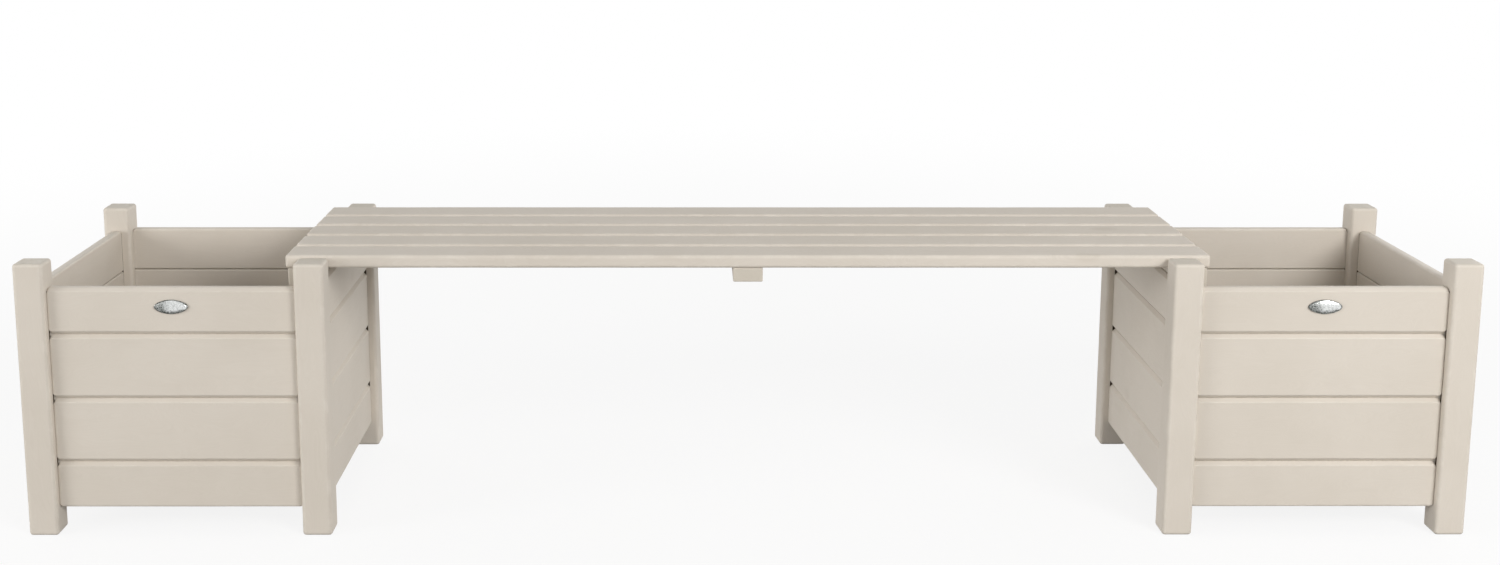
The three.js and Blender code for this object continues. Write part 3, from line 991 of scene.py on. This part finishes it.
WHITE = (1.0, 1.0, 1.0, 1.0)
FLOOR_HALF = 45.0
FLOOR_FADE = (1.1, 3.4)  # how far from the bench's middle the shadows fade out
FLOOR_CLEAR = 0.86  # how much of the floor's white is its own, near the bench
FLOOR_WHITE = (0.93, 0.93, 0.93, 1.0)
FLOOR_BOUNCE = (0.39, 0.385, 0.375, 1.0)
HORIZON_LIGHT = 0.78
ZENITH_LIGHT = 0.29
SOFTBOXES = {
    # place, size and power of each; all of them face the bench
    "key": ((2.1, -2.9, 1.8), 1.6, 78.0),
    "left_fill": ((-3.8, -1.8, 0.95), 1.8, 61.0),
    "left_back_fill": ((-3.1, 3.1, 1.0), 2.0, 30.0),
    "right_back_fill": ((3.1, 3.1, 1.0), 2.0, 32.0),
}
SOFTBOX_TARGET = (0.05, 0.0, 0.15)
SOFTBOX_COLOUR = (1.0, 0.99, 0.975)
CAMERA_PLACE = (-0.075, -2.358, 0.873)
CAMERA_PITCH = math.radians(10.08)
CAMERA_YAW = math.radians(0.16)
CAMERA_ROLL = math.radians(-0.04)
CAMERA_LENS = 42.49
CAMERA_SENSOR = 36.0
CAMERA_SHIFT = (0.037, -0.08)
CAMERA_REACH = 200.0


def mix_shaders(tree, share, first, second):
    return add_node(tree, "ShaderNodeMixShader", {0: share, 1: first, 2: second}).outputs[0]


def white_light(tree, strength):
    return add_node(tree, "ShaderNodeBackground", {"Color": WHITE, "Strength": strength}).outputs[0]


def seen_directly(tree):
    """1 for rays that show the background: those of the camera, and those through gloss or glass."""
    path = add_node(tree, "ShaderNodeLightPath").outputs
    through = calc(tree, "MAXIMUM", path["Is Glossy Ray"], path["Is Transmission Ray"])
    return calc(tree, "MAXIMUM", path["Is Camera Ray"], through)


def pale_floor():
    """Plain white floor. Near the bench it keeps the shadows, and further out it turns pure white."""
    mesh = bpy.data.meshes.new("floor")
    corners = FLOOR_HALF * np.array([(-1, -1, 0), (1, -1, 0), (1, 1, 0), (-1, 1, 0)])
    mesh.from_pydata(corners, [], [(0, 1, 2, 3)])
    floor = bpy.data.objects.new("floor", mesh)
    bpy.context.scene.collection.objects.link(floor)
    material, tree, shader = new_material("pale_floor")
    tree.nodes.remove(shader)
    bounce = add_node(tree, "ShaderNodeBsdfDiffuse", {"Color": FLOOR_BOUNCE}).outputs[0]
    matte = add_node(tree, "ShaderNodeBsdfDiffuse", {"Color": FLOOR_WHITE}).outputs[0]
    clear = add_node(tree, "ShaderNodeEmission").outputs[0]
    distance = add_node(tree, "ShaderNodeVectorMath", {0: object_place(tree)}, operation="LENGTH")
    own_white = fade(tree, distance.outputs["Value"], *FLOOR_FADE, out_low=FLOOR_CLEAR)
    shown = mix_shaders(tree, own_white, matte, clear)
    surface = mix_shaders(tree, seen_directly(tree), bounce, shown)
    tree.links.new(surface, tree.nodes["Material Output"].inputs["Surface"])
    mesh.materials.append(material)


def softbox(name, place, size, power):
    """A large round lamp that faces the bench and that the camera doesn't see."""
    lamp = bpy.data.lights.new(name, "AREA")
    lamp.shape = "DISK"
    lamp.size = size
    lamp.energy = power
    lamp.color = SOFTBOX_COLOUR
    light = bpy.data.objects.new(name, lamp)
    bpy.context.scene.collection.objects.link(light)
    light.location = place
    aim = np.array(SOFTBOX_TARGET) - place
    tilt = math.atan2(math.hypot(aim[0], aim[1]), -aim[2])
    light.rotation_euler = (tilt, 0, math.atan2(-aim[0], aim[1]))
    light.visible_camera = False


def soft_light():
    """A white studio whose walls are brighter than its ceiling, with a few large soft lamps."""
    world = bpy.data.worlds.new("studio")
    bpy.context.scene.world = world
    world.use_nodes = True
    tree = world.node_tree
    direction = add_node(tree, "ShaderNodeTexCoord").outputs["Generated"]
    height = add_node(tree, "ShaderNodeSeparateXYZ", {0: direction}).outputs["Z"]
    strength = fade(tree, height, 0.0, 1.0, HORIZON_LIGHT, ZENITH_LIGHT)
    surface = mix_shaders(tree, seen_directly(tree), white_light(tree, strength), white_light(tree, 1.0))
    tree.links.new(surface, tree.nodes["World Output"].inputs["Surface"])
    for name, (place, size, power) in SOFTBOXES.items():
        softbox(name, place, size, power)


def camera():
    data = bpy.data.cameras.new("camera")
    data.lens = CAMERA_LENS
    data.sensor_width = CAMERA_SENSOR
    data.shift_x, data.shift_y = CAMERA_SHIFT
    data.clip_end = CAMERA_REACH
    view = bpy.data.objects.new("camera", data)
    bpy.context.scene.collection.objects.link(view)
    view.location = CAMERA_PLACE
    view.rotation_euler = (math.pi / 2 - CAMERA_PITCH, CAMERA_ROLL, -CAMERA_YAW)
    bpy.context.scene.camera = view


bpy.context.scene.view_settings.view_transform = "Standard"
camera()
pale_floor()
soft_light()
groups = {
    "grain": timber_grain_group(),
    "knots": knots_group(),
    "skin": sprayed_skin_group(),
    "wear": wear_group(),
}
planter_paint = satin_paint("planter_paint", groups, grain_share=0.14, roughness=0.56)
seat_paint = satin_paint("seat_paint", groups, grain_share=0.26, roughness=0.6)
plate = hammered_metal()
zinc = zinc_plate()
for planter_box in ("left_box", "right_box"):
    planter(planter_box, planter_paint, plate)
seat(seat_paint, zinc)
